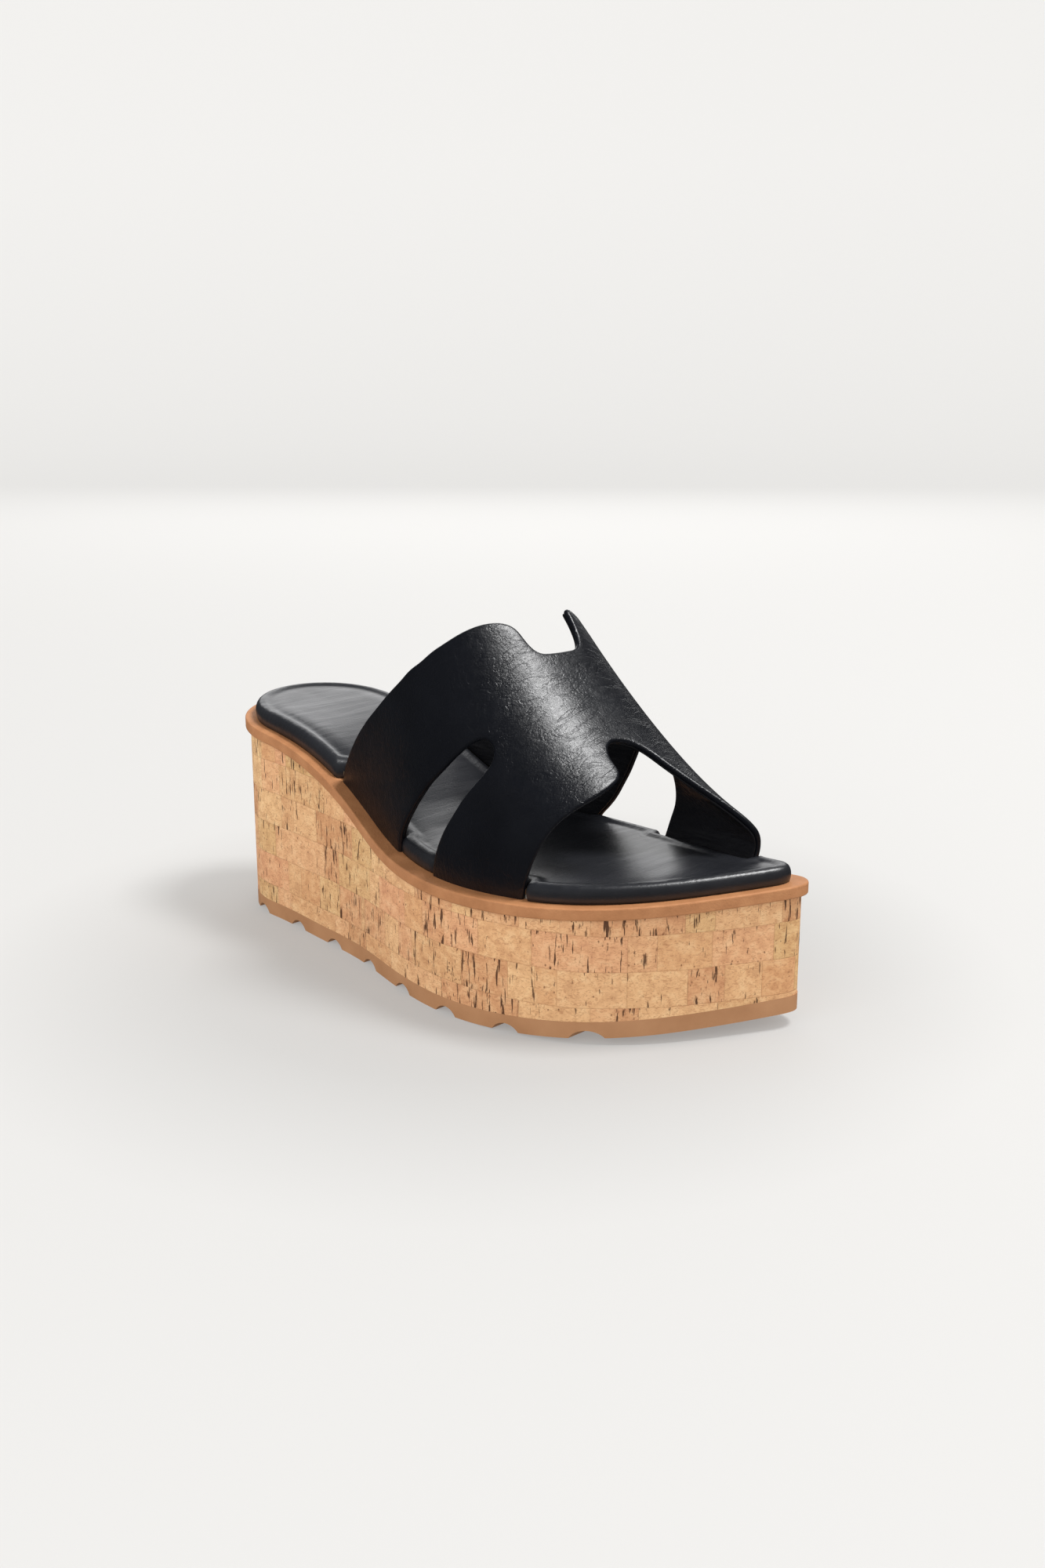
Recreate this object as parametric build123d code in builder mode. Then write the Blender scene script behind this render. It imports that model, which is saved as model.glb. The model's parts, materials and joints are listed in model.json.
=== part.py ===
"""Right wedge sandal: a cork-covered platform wedge with an H-shaped slip-on strap.

X runs from heel to toe, Y towards the inner (big toe) side and Z up. The origin is on
the ground under the middle of the shoe. All sizes are in millimetres.
"""
from build123d import *
from math import cos, exp, pi, sin
import os

# Driving dimensions
half_length = 125
heel_centre = (-92, 2.5)
heel_radius = 33
toe_corner_radius = 7
outline_steps = 90

outsole_thickness = 6
toe_spring = 6
toe_spring_start = 25
groove_count = 8
groove_pitch = 26.4
groove_first_x = -100
groove_half_width = 5
groove_depth = 2.8

platform_top = 43.2
heel_lift = 33.3
heel_lift_slope = 0.071
ramp_middle_x = -31
ramp_length = 30

cork_thickness = 1.2
cork_seam_width = 0.3
rand_overhang = 2
rand_width = 14
rand_thickness = 4.3
rand_rounding = 0.6

leather = 1.2
interlining = 0.3
lining = 0.6
margin_leather = 0.8
margin_lining = 0.8
margin_width = 15
foot_depth = 2
board_thickness = 1.4
foam_thickness = 2.8
cover_thickness = 0.8
footbed_inset = 4.5

ridge_y = 7
ridge_middle = (40, 117.7)
ridge_slope = 1.02
ridge_curve = 0.0055
rear_ridge_x = 25
superellipse_outer_side = 2.2
superellipse_inner_side = 3.2
bulge_outer_side = 2
bulge_inner_side = 5.2

# Layer heights over the top of the wedge
margin_level = rand_thickness
board_level = margin_level + margin_leather + margin_lining
foam_level = board_level + board_thickness
cover_level = foam_level + foam_thickness
footbed_level = cover_level + cover_thickness

# Plan outline of the wedge: outer side and inner side, both from heel to toe
outer_side = [(-92, -30.5), (-58, -33), (-29, -36), (-3, -42), (27, -46.4), (57, -42.7), (80, -32.5),
              (98, -16), (111.5, 5), (123, 28)]
inner_side = [(-92, 35.5), (-60, 36.5), (-30, 38), (5, 42.5), (40, 46.5), (75, 44.5), (100, 41)]
toe_corner = (128.5, 39)

# Where the upper's side walls stand on the rand: station x, outer side y, inner side y
leg_feet = [(-53, -29.4, 32.8), (-35, -31.1, 33.5), (-15, -35.1, 35.7), (5, -39.8, 38.3), (25, -42.3, 41.5),
            (45, -41.3, 42.5), (65, -35.9, 41.3), (85, -29.5, 38.7), (105, -21.5, 35.8)]


def spring_lift(x):
    """Height of the outsole's underside, which rises towards the toe."""
    return toe_spring * (max(x - toe_spring_start, 0) / (half_length - toe_spring_start)) ** 2


def wedge_top(x):
    """Height of the wedge's top along the shoe: heel plateau, ramp and platform."""
    lift = heel_lift - heel_lift_slope * (x + half_length)
    ramp = 1 / (1 + exp(2 * (x - ramp_middle_x) / ramp_length))
    return platform_top + lift * ramp + 0.87 * spring_lift(x)


def ridge_top(x):
    """Height of the upper's highest line, which climbs from the toes to the instep."""
    middle_x, middle_z = ridge_middle
    u = max(x, rear_ridge_x) - middle_x
    curved = middle_z - ridge_slope * u + ridge_curve * u ** 2
    return curved + 1.1 * max(rear_ridge_x - x, 0)


def arch_point(station, inset, t):
    """Point of the upper's arch; t is -1 at the outer foot, 0 on the ridge, 1 at the inner foot."""
    x, outer_y, inner_y = station
    base = wedge_top(x) + margin_level - foot_depth
    rise = ridge_top(x) - 1.4 * inset - base
    outer = t < 0
    power = superellipse_outer_side if outer else superellipse_inner_side
    bulge = bulge_outer_side if outer else bulge_inner_side
    reach = abs((outer_y if outer else inner_y) - ridge_y) - inset
    up = max(cos(abs(t) * pi / 2), 0) ** (2 / power)
    out = sin(abs(t) * pi / 2) ** (2 / power)
    side = reach * out + 4 * bulge * up * (1 - up)
    return (ridge_y - side if outer else ridge_y + side, base + rise * up)


def arch_solid(inset):
    """Closed body under the upper's arch, its surface moved inwards by inset."""
    steps = [-1, -0.96, -0.85, -0.7, -0.5, -0.25, 0, 0.25, 0.5, 0.7, 0.85, 0.96, 1]
    with BuildPart() as body:
        for station in leg_feet:
            with BuildSketch(Plane.YZ.offset(station[0])):
                with BuildLine():
                    arch = Spline([arch_point(station, inset, t) for t in steps])
                    left = arch @ 0
                    right = arch @ 1
                    Polyline(right, (right.X, 20), (left.X, 20), left)
                make_face()
        loft()
    return body.part


def wedge_edge():
    """Plan outline of the wedge as one closed wire."""
    with BuildSketch() as plan:
        with BuildLine():
            outer = Spline(outer_side, tangents=[(1, 0), (0.45, 1)])
            ThreePointArc(outer @ 0, (heel_centre[0] - heel_radius, heel_centre[1]), inner_side[0])
            inner = Spline(inner_side, tangents=[(1, 0), (1, -0.15)])
            Line(inner @ 1, toe_corner)
            Line(toe_corner, outer @ 1)
        make_face()
        fillet(vertices().group_by(Axis.X)[-1], toe_corner_radius)
    return plan.face().outer_wire()


def outline_prism(growth):
    """Upright block of the wedge's plan outline, moved outwards by growth; its side is one smooth face."""
    edge = wedge_edge()
    steps = [number / outline_steps for number in range(outline_steps)]
    walk = [(edge.position_at(step), edge.tangent_at(step)) for step in steps]
    side = 1 if Face(edge).normal_at().Z > 0 else -1
    moved = [place + Vector(along.Y, -along.X) * growth * side for place, along in walk]
    moved = [place for place in moved if edge.distance_to(Vertex(place)) > abs(growth) - 0.01]
    with BuildPart() as prism:
        with BuildSketch():
            with BuildLine():
                Spline(moved, periodic=True)
            make_face()
        extrude(amount=160)
    return prism.part


def layer(bottom, top):
    """Slab that follows the wedge's top between two heights over it."""
    xs = range(-140, 141, 10)
    with BuildPart() as slab:
        with BuildSketch(Plane.XZ):
            with BuildLine():
                low = Spline([(x, wedge_top(x) + bottom) for x in xs])
                high = Spline([(x, wedge_top(x) + top) for x in xs])
                Line(low @ 0, high @ 0)
                Line(low @ 1, high @ 1)
            make_face()
        extrude(amount=80, both=True)
    return slab.part


def below_layer(top, start):
    """Block from a flat height up to a height over the wedge's top."""
    xs = range(-140, 141, 10)
    with BuildPart() as block:
        with BuildSketch(Plane.XZ):
            with BuildLine():
                high = Spline([(x, wedge_top(x) + top) for x in xs])
                Polyline(high @ 0, (-140, start), (140, start), high @ 1)
            make_face()
        extrude(amount=80, both=True)
    return block.part


def outsole_slab(thickness):
    """Block from the ground side up to a height over the outsole's underside."""
    xs = range(toe_spring_start, 146, 20)
    with BuildPart() as block:
        with BuildSketch(Plane.XZ):
            with BuildLine():
                rise = Spline([(x, spring_lift(x) + thickness) for x in xs], tangents=[(1, 0), (1, 0.14)])
                Polyline(rise @ 0, (-140, thickness), (-140, -10), (rise.position_at(1).X, -10), rise @ 1)
            make_face()
        extrude(amount=80, both=True)
    return block.part


os.makedirs("parts", exist_ok=True)

wedge_outline = outline_prism(0)
core_outline = outline_prism(-cork_thickness)
rand_outline = outline_prism(rand_overhang)
plate_outline = outline_prism(rand_overhang - rand_width)
footbed_outline = outline_prism(-footbed_inset)
cushion_outline = outline_prism(-footbed_inset - cover_thickness)

# Outsole with a curved underside and transverse grooves
with BuildPart() as outsole:
    add(wedge_outline)
    add(outsole_slab(outsole_thickness), mode=Mode.INTERSECT)
    add(outsole_slab(0), mode=Mode.SUBTRACT)
    groove_radius = (groove_half_width ** 2 + groove_depth ** 2) / (2 * groove_depth)
    for number in range(groove_count):
        groove_x = groove_first_x + number * groove_pitch
        groove_z = spring_lift(groove_x) + groove_depth - groove_radius
        with Locations(Location((groove_x, 0, groove_z), (90, 0, 0))):
            Cylinder(groove_radius, 120, mode=Mode.SUBTRACT)
outsole.part.label = "outsole"

# Foam wedge
with BuildPart() as wedge_core:
    add(core_outline)
    add(below_layer(0, -20), mode=Mode.INTERSECT)
    add(outsole_slab(outsole_thickness), mode=Mode.SUBTRACT)
wedge_core.part.label = "wedge_core"

# Cork sheet around the wedge, butted on the inner side of the waist
with BuildPart() as cork_wrap:
    add(wedge_outline)
    add(core_outline, mode=Mode.SUBTRACT)
    add(below_layer(0, -20), mode=Mode.INTERSECT)
    add(outsole_slab(outsole_thickness), mode=Mode.SUBTRACT)
    with Locations((-20, 40, 50)):
        Box(cork_seam_width, 20, 160, mode=Mode.SUBTRACT)
cork_wrap.part.label = "cork_wrap"

# Rand around the top edge
with BuildPart() as rand:
    add(rand_outline)
    add(layer(0, rand_thickness), mode=Mode.INTERSECT)
    long_edges = edges().filter_by(lambda edge: edge.length > 100)
    fillet(long_edges, rand_rounding)
    add(plate_outline, mode=Mode.SUBTRACT)
rand.part.label = "rand"

with BuildPart() as midsole_plate:
    add(plate_outline)
    add(layer(0, rand_thickness), mode=Mode.INTERSECT)

midsole_plate.part.label = "midsole_plate"

# Body of the arch and its inner faces, one for each ply of the upper
arch_outside = arch_solid(0)
arch_under_leather = arch_solid(leather)
arch_under_interlining = arch_solid(leather + interlining)
arch_under_lining = arch_solid(leather + interlining + lining)
margin_opening = outline_prism(-footbed_inset - margin_width)


def side_keep(rear_edge, front_edge, slot_edge, high_y, width):
    """Block that keeps one side of the upper, drawn from the side: two legs with a slot between them."""
    with BuildPart() as block:
        with BuildSketch(Plane.XZ.offset(-high_y)):
            with BuildLine():
                rear = Spline(rear_edge)
                front = Spline(front_edge)
                Line(rear @ 0, front @ 0)
                Polyline(rear @ 1, (rear.position_at(1).X, 200), (front.position_at(1).X, 200), front @ 1)
            make_face()
            with BuildLine():
                edge = Spline(slot_edge)
                Line(edge @ 0, edge @ 1)
            make_face(mode=Mode.SUBTRACT)
        extrude(amount=width)
    return block.part


def cut_out(bottom, outline, rounding):
    """Upright block of a plan outline with rounded corners, used for the notches at the top."""
    with BuildPart() as block:
        with BuildSketch(Plane.XY.offset(bottom)):
            with BuildLine():
                Polyline(outline, close=True)
            make_face()
            fillet(vertices(), rounding)
        extrude(amount=150)
    return block.part


outer_side_keep = side_keep(
    rear_edge=[(-45, 30), (-44.5, 67), (-39.5, 77), (-18.5, 100.4), (10, 124.5), (22.5, 136)],
    front_edge=[(60, 30), (61.5, 48.5), (65.5, 62.4), (70.5, 75.5), (74.5, 82), (76, 88)],
    slot_edge=[(-9, 30), (0.5, 57), (18.5, 80.8), (32, 96), (37, 99.2), (42, 94.8), (40, 86), (28, 66.5),
               (20.5, 49), (16, 30)],
    high_y=ridge_y, width=60)
inner_side_keep = side_keep(
    rear_edge=[(-50.5, 30), (-49.5, 69), (-44.5, 78), (-26, 91.5), (0, 106.5), (14, 119.5), (21.5, 136)],
    front_edge=[(100, 30), (101.5, 55), (101.5, 65), (98, 71.5), (92, 77), (84, 84)],
    slot_edge=[(18, 30), (26.5, 56), (37, 76.4), (44, 91), (50, 96.5), (54.5, 90), (58, 75), (57.5, 60),
               (52, 30)],
    high_y=60, width=60 - ridge_y)
rear_notch = cut_out(
    bottom=100,
    outline=[(-10, -8), (22, -8), (27.5, -4), (34.5, -2), (34.5, 19), (28, 22.5), (20, 24), (-10, 24)],
    rounding=1.5)
front_notch = cut_out(
    bottom=66,
    outline=[(76.5, -60), (76.5, -3), (64.5, -1), (62.5, 6), (66, 14), (86, 27), (106, 42), (125, 42),
             (125, -60)],
    rounding=2)

with BuildPart() as upper_shape:
    add(outer_side_keep)
    add(inner_side_keep)
    add(rear_notch, mode=Mode.SUBTRACT)
    add(front_notch, mode=Mode.SUBTRACT)


def ply(outside, inside, floor_bottom):
    """Arched wall of one ply of the upper, standing on a height over the wedge."""
    with BuildPart() as wall:
        add(outside)
        add(inside, mode=Mode.SUBTRACT)
        add(below_layer(floor_bottom, 0), mode=Mode.SUBTRACT)
    return wall.part


def margin(outside, floor_bottom, floor_top):
    """Lower ends of a ply, folded inwards under the insole board."""
    with BuildPart() as fold:
        add(outside)
        add(layer(floor_bottom, floor_top), mode=Mode.INTERSECT)
        add(margin_opening, mode=Mode.SUBTRACT)
    return fold.part


# The three plies of the upper
lining_level = margin_level + margin_leather
with BuildPart() as upper_leather:
    add(ply(arch_outside, arch_under_leather, margin_level))
    add(margin(arch_outside, margin_level, lining_level))
    add(upper_shape, mode=Mode.INTERSECT)
upper_leather.part.label = "upper_leather"

with BuildPart() as upper_interlining:
    add(ply(arch_under_leather, arch_under_interlining, board_level))
    add(upper_shape, mode=Mode.INTERSECT)
upper_interlining.part.label = "upper_interlining"

with BuildPart() as upper_lining:
    add(ply(arch_under_interlining, arch_under_lining, lining_level))
    add(margin(arch_under_interlining, lining_level, board_level))
    add(upper_shape, mode=Mode.INTERSECT)
upper_lining.part.label = "upper_lining"

# All that the legs take out of the footbed
with BuildPart() as upper_legs:
    add(arch_outside)
    add(arch_under_lining, mode=Mode.SUBTRACT)
    add(below_layer(footbed_level + 1, 0), mode=Mode.INTERSECT)
    add(upper_shape, mode=Mode.INTERSECT)

# Where the folded strap ends lie between rand and board
with BuildPart() as folded_ends:
    add(arch_outside)
    add(below_layer(footbed_level, 0), mode=Mode.INTERSECT)
    add(upper_shape, mode=Mode.INTERSECT)
    add(margin_opening, mode=Mode.SUBTRACT)

# Fasteners: nails and a screw that hold the board down, rivets of the shank, tacks of the strap ends


def fastener(x, y, head_top, head_radius, head_height, shank_radius, shank_length):
    """Headed pin that points down, its head's upper face at a height over the wedge."""
    top = wedge_top(x) + head_top
    with BuildPart() as pin:
        with Locations((x, y, top)):
            Cylinder(head_radius, head_height, align=(Align.CENTER, Align.CENTER, Align.MAX))
            Cylinder(shank_radius, shank_length, align=(Align.CENTER, Align.CENTER, Align.MAX))
    return pin.part


nail_places = [(-112, 2.5), (-104, -14), (-104, 19), (-82, -16), (-82, 21)]
rivet_places = [(-70, 2), (8, 2)]
tack_places = [(-30, -24), (-15, -27), (0, -31), (28, -35), (42, -35), (56, -32), (-28, 27), (-12, 29), (4, 31),
               (66, 34), (80, 32), (92, 29)]

with BuildPart() as heel_nails:
    for x, y in nail_places:
        add(fastener(x, y, foam_level, 2.2, 0.7, 0.9, 22))
heel_nails.part.label = "heel_nails"

with BuildPart() as heel_screw:
    add(fastener(-92, 2.5, foam_level, 3.5, 1.2, 1.8, 30))
heel_screw.part.label = "heel_screw"

with BuildPart() as shank_rivets:
    for x, y in rivet_places:
        add(fastener(x, y, foam_level, 3, 0.5, 1.5, board_thickness + 1.1))
shank_rivets.part.label = "shank_rivets"

with BuildPart() as lasting_tacks:
    for x, y in tack_places:
        add(fastener(x, y, foam_level - 0.3, 0.5, 0.5, 0.5, 2.4))
lasting_tacks.part.label = "lasting_tacks"

with BuildPart() as fasteners:
    add(heel_nails)
    add(heel_screw)
    add(shank_rivets)
    add(lasting_tacks)

# Steel shank under the board, in the middle of the waist
with BuildPart() as steel_shank:
    with BuildSketch():
        with Locations((-31, 2)):
            SlotOverall(100, 12)
    extrude(amount=160)
    add(layer(board_level - 1, board_level), mode=Mode.INTERSECT)
    add(fasteners, mode=Mode.SUBTRACT)
steel_shank.part.label = "steel_shank"

# Filler sheet that levels the space between the folded strap ends
with BuildPart() as bottom_filler:
    add(cushion_outline)
    add(layer(margin_level, board_level), mode=Mode.INTERSECT)
    add(folded_ends, mode=Mode.SUBTRACT)
    add(steel_shank, mode=Mode.SUBTRACT)
    add(fasteners, mode=Mode.SUBTRACT)
bottom_filler.part.label = "bottom_filler"

# Insole board
with BuildPart() as insole_board:
    add(cushion_outline)
    add(layer(board_level, foam_level), mode=Mode.INTERSECT)
    add(upper_legs, mode=Mode.SUBTRACT)
    add(fasteners, mode=Mode.SUBTRACT)
insole_board.part.label = "insole_board"

# Footbed padding and its leather cover, which wraps down around foam and board
with BuildPart() as footbed_foam:
    add(cushion_outline)
    add(layer(foam_level, cover_level), mode=Mode.INTERSECT)
    add(upper_legs, mode=Mode.SUBTRACT)
    add(fasteners, mode=Mode.SUBTRACT)
footbed_foam.part.label = "footbed_foam"

with BuildPart() as cushion_space:
    add(cushion_outline)
    add(layer(margin_level - 1, cover_level), mode=Mode.INTERSECT)

with BuildPart() as footbed_cover:
    add(footbed_outline)
    add(layer(margin_level, footbed_level), mode=Mode.INTERSECT)
    add(cushion_space, mode=Mode.SUBTRACT)
    add(upper_legs, mode=Mode.SUBTRACT)
footbed_cover.part.label = "footbed_cover"

# The pieces that the fasteners pass through
with BuildPart() as nailed_core:
    add(wedge_core)
    add(fasteners, mode=Mode.SUBTRACT)
nailed_core.part.label = "wedge_core"

with BuildPart() as nailed_plate:
    add(midsole_plate)
    add(fasteners, mode=Mode.SUBTRACT)
nailed_plate.part.label = "midsole_plate"

with BuildPart() as nailed_rand:
    add(rand)
    add(heel_nails, mode=Mode.SUBTRACT)
nailed_rand.part.label = "rand"

with BuildPart() as tacked_leather:
    add(upper_leather)
    add(lasting_tacks, mode=Mode.SUBTRACT)
tacked_leather.part.label = "upper_leather"

with BuildPart() as tacked_lining:
    add(upper_lining)
    add(lasting_tacks, mode=Mode.SUBTRACT)
tacked_lining.part.label = "upper_lining"

pieces = [
    outsole, nailed_core, cork_wrap, nailed_rand, nailed_plate, bottom_filler, steel_shank, shank_rivets,
    insole_board, footbed_foam, footbed_cover, tacked_leather, upper_interlining, tacked_lining,
    lasting_tacks, heel_nails, heel_screw,
]
for piece in pieces:
    export_step(piece.part, f"parts/{piece.part.label}.step")
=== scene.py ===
import json
import math

import bmesh
import bpy
import numpy as np
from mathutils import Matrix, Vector
from mathutils.bvhtree import BVHTree
from mathutils.geometry import delaunay_2d_cdt


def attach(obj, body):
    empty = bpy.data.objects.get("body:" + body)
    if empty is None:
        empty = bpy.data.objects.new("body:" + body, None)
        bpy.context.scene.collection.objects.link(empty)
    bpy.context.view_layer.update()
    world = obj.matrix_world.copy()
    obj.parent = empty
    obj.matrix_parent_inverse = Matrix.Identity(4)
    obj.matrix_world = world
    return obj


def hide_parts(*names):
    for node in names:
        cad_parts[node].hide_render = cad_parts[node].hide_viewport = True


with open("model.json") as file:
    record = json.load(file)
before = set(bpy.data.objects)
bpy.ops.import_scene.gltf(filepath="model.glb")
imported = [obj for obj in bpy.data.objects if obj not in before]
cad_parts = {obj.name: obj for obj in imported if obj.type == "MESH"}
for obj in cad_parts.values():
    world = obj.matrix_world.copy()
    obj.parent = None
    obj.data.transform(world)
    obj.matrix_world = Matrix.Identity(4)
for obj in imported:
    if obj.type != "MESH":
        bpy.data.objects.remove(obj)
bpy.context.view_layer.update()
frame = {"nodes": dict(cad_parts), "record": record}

nodes = frame["nodes"]

# Shapes shared with the CAD part, in millimetres.
RIDGE_Y = 7.0
POWERS = (2.2, 3.2)
BULGES = (2.0, 5.2)
RAND_TOP = 4.3
LEG_FEET = [
    (-53, -29.4, 32.8), (-35, -31.1, 33.5), (-15, -35.1, 35.7), (5, -39.8, 38.3), (25, -42.3, 41.5),
    (45, -41.3, 42.5), (65, -35.9, 41.3), (85, -29.5, 38.7), (105, -21.5, 35.8),
]
STRAP_THICK = 2.2
LINING_THICK = 0.8
FOOT_TUCK = 1.2
OUTSOLE_THICK = 6


def spring_lift(x):
    return 6 * (np.maximum(x - 25, 0) / 100) ** 2


def wedge_top(x):
    return 43.2 + (33.3 - 0.071 * (x + 125)) / (1 + np.exp(2 * (x + 31) / 30)) + 0.87 * spring_lift(x)


def ridge_top(x):
    u = np.maximum(x, 25) - 40
    return 117.7 - 1.02 * u + 0.0055 * u**2 + 1.1 * np.maximum(25 - x, 0)


def smooth_step(value, low, high):
    t = np.clip((value - low) / (high - low), 0, 1)
    return t * t * (3 - 2 * t)


feet = np.array(LEG_FEET, float)
outer_fit = np.polyfit(feet[:, 0] / 50, feet[:, 1], 6)
inner_fit = np.polyfit(feet[:, 0] / 50, feet[:, 2], 6)


class Arch:
    """The strap's outer surface as a table over x and the girth s.

    The girth is 0 on the ridge and negative on the outer side of the foot.
    """

    girth_step = 0.5

    def __init__(self):
        self.x = np.arange(-56, 118.5, 1.0)
        self.s = np.arange(-200, 200.25, self.girth_step)
        self.y = np.zeros((len(self.x), len(self.s)))
        self.z = np.zeros_like(self.y)
        self.foot = np.zeros((len(self.x), 2))
        half = 600
        t = np.linspace(-1, 1, 2 * half + 1)
        for row, x in enumerate(self.x):
            y, z = self.section(x, t)
            s = np.concatenate([[0], np.cumsum(np.hypot(np.diff(y), np.diff(z)))])
            s -= s[half]
            self.y[row] = np.interp(self.s, s, y)
            self.z[row] = np.interp(self.s, s, z)
            low, high = self.s < s[0], self.s > s[-1]
            self.z[row][low] = z[0] + (self.s[low] - s[0])
            self.z[row][high] = z[-1] - (self.s[high] - s[-1])
            level = wedge_top(x) + RAND_TOP
            self.foot[row] = (self.at_height(row, level, -1), self.at_height(row, level, 1))

    def section(self, x, t):
        """The section at x: two quarter superellipses on feet of their own, t running from foot to foot."""
        base = wedge_top(x) + RAND_TOP - 2
        rise = ridge_top(x) - base
        side = (t > 0).astype(int)
        power = np.array(POWERS)[side]
        bulge = np.array(BULGES)[side]
        foot_y = np.array([np.polyval(outer_fit, x / 50), np.polyval(inner_fit, x / 50)])[side]
        up = np.maximum(np.cos(np.abs(t) * np.pi / 2), 0) ** (2 / power)
        out = np.sin(np.abs(t) * np.pi / 2) ** (2 / power)
        reach = np.abs(foot_y - RIDGE_Y) * out + 4 * bulge * up * (1 - up)
        return RIDGE_Y + np.where(side == 1, 1, -1) * reach, base + rise * up

    def at_height(self, row, level, side):
        part = self.s * side > 8
        order = np.argsort(self.z[row][part])
        return float(np.interp(level, self.z[row][part][order], self.s[part][order]))

    def _mix(self, table, x, s):
        i = np.clip((x - self.x[0]), 0, len(self.x) - 1.001)
        j = np.clip((s - self.s[0]) / self.girth_step, 0, len(self.s) - 1.001)
        a, b = i.astype(int), j.astype(int)
        u, v = i - a, j - b
        near = table[a, b] * (1 - v) + table[a, b + 1] * v
        far = table[a + 1, b] * (1 - v) + table[a + 1, b + 1] * v
        return near * (1 - u) + far * u

    def point(self, x, s):
        x, s = np.asarray(x, float), np.asarray(s, float)
        return np.stack([x, self._mix(self.y, x, s), self._mix(self.z, x, s)], -1)

    def slopes(self, x, s):
        x, s = np.asarray(x, float), np.asarray(s, float)
        along_x = (self.point(x + 1, s) - self.point(x - 1, s)) / 2
        along_s = (self.point(x, s + 1) - self.point(x, s - 1)) / 2
        normal = np.cross(along_x, along_s)
        normal /= np.maximum(np.linalg.norm(normal, axis=-1, keepdims=True), 1e-9)
        away = self.point(x, s) - np.stack([x, np.full_like(x, RIDGE_Y), wedge_top(x) + 20], -1)
        flip = np.sign((normal * away).sum(-1, keepdims=True))
        return along_x, along_s, normal * flip

    def foot_s(self, x, side):
        return np.interp(x, self.x, self.foot[:, 0 if side < 0 else 1])

    def girth(self, x, y, z):
        """The girth of the surface point nearest to (y, z) in the section at x."""
        return float(self.s[np.argmin(np.hypot(
            self._mix(self.y, np.full_like(self.s, x), self.s) - y,
            self._mix(self.z, np.full_like(self.s, x), self.s) - z,
        ))])

    def girth_at(self, x, z, side):
        heights = self._mix(self.z, np.full_like(self.s, x), self.s)
        part = self.s * side > 4
        order = np.argsort(heights[part])
        return float(np.interp(z, heights[part][order], self.s[part][order]))


arch = Arch()


def curve_through(points, step=0.6):
    """Centripetal Catmull-Rom curve through the points."""
    p = np.array(points, float)
    p = np.vstack([2 * p[0] - p[1], p, 2 * p[-1] - p[-2]])
    out = []
    for k in range(1, len(p) - 2):
        a, b, c, d = p[k - 1 : k + 3]
        spans = [max(np.linalg.norm(q - r), 1e-6) ** 0.5 for q, r in ((b, a), (c, b), (d, c))]
        t = np.cumsum([0] + spans)
        count = max(2, int(np.linalg.norm(c - b) / step))
        for u in np.linspace(t[1], t[2], count, endpoint=False):
            ab = (t[1] - u) / (t[1] - t[0]) * a + (u - t[0]) / (t[1] - t[0]) * b
            bc = (t[2] - u) / (t[2] - t[1]) * b + (u - t[1]) / (t[2] - t[1]) * c
            cd = (t[3] - u) / (t[3] - t[2]) * c + (u - t[2]) / (t[3] - t[2]) * d
            abc = (t[2] - u) / (t[2] - t[0]) * ab + (u - t[0]) / (t[2] - t[0]) * bc
            bcd = (t[3] - u) / (t[3] - t[1]) * bc + (u - t[1]) / (t[3] - t[1]) * cd
            out.append((t[2] - u) / (t[2] - t[1]) * abc + (u - t[1]) / (t[2] - t[1]) * bcd)
    out.append(p[-2])
    return np.array(out)


def even(points, step, closed=False):
    """The polyline resampled at an even spacing."""
    p = np.vstack([points, points[:1]]) if closed else np.asarray(points)
    along = np.concatenate([[0], np.cumsum(np.linalg.norm(np.diff(p, axis=0), axis=1))])
    count = max(2, int(round(along[-1] / step)))
    walk = np.linspace(0, along[-1], count + 1)
    out = np.stack([np.interp(walk, along, p[:, k]) for k in range(p.shape[1])], -1)
    return out[:-1] if closed else out


def relax(points, rounds):
    for _ in range(rounds):
        points[1:-1] = points[1:-1] * 0.5 + (points[:-2] + points[2:]) * 0.25
    return points


# The strap's outline: points (x, y, z) on the surface, or (x, z) on one side of it.
rear_outer = [
    (-44.5, -29.3, 67.3), (-42.5, -29.8, 72.2), (-39.5, -30.4, 77.1), (-35.5, -31, 83.4),
    (-31, -31.4, 88.7), (-25.2, -32.2, 94.5), (-18.9, -33, 100.4), (-9.6, -33.4, 108.7),
    (-4.9, -33.1, 112.6), (-0.4, -31.9, 117.2), (3.6, -30.5, 120.6), (7.6, -27.8, 124.5),
    (11, -24.8, 127.4), (15.2, -19.4, 130.7), (18.9, -13, 133), (21.2, -9.2, 133.7),
    (23.2, -6.5, 133.6), (25, -4.6, 132.4), (27, -4.1, 130.4), (29, -3.8, 128.2),
    (31, -3.1, 126.2), (32.9, -1.8, 124.5), (34, 0.8, 123.9), (34.5, 5.8, 123.4),
    (34.6, 11, 123.2), (34.5, 15.5, 123.2), (33.8, 18.2, 123.7), (32, 20, 125.2),
    (30, 21.4, 126.8), (27.5, 22.4, 129.1), (25, 22.9, 131.5), (23, 22.9, 133.6),
    (21.6, 23.1, 134.9),
]
rear_inner = [
    (20.3, 131.4), (17.8, 126), (13.8, 119.5), (8.2, 113), (0, 106.5), (-9, 101), (-18, 96), (-26, 91.5),
    (-34, 86.5), (-41, 81), (-46.5, 75), (-49.5, 69),
]
inner_slot = [
    (22.2, 50), (23.5, 52.3), (26.5, 56.2), (29.5, 60.6), (32.2, 66.1), (35, 71.8), (37, 76.4), (40, 82.6),
    (43, 88.5), (46.5, 93.2), (50.2, 94.6), (53.6, 92.6), (56.2, 87), (57.8, 80.5), (58.9, 74), (59.2, 69),
    (58.8, 64), (57.5, 59.5), (55.5, 54),
]
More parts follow.
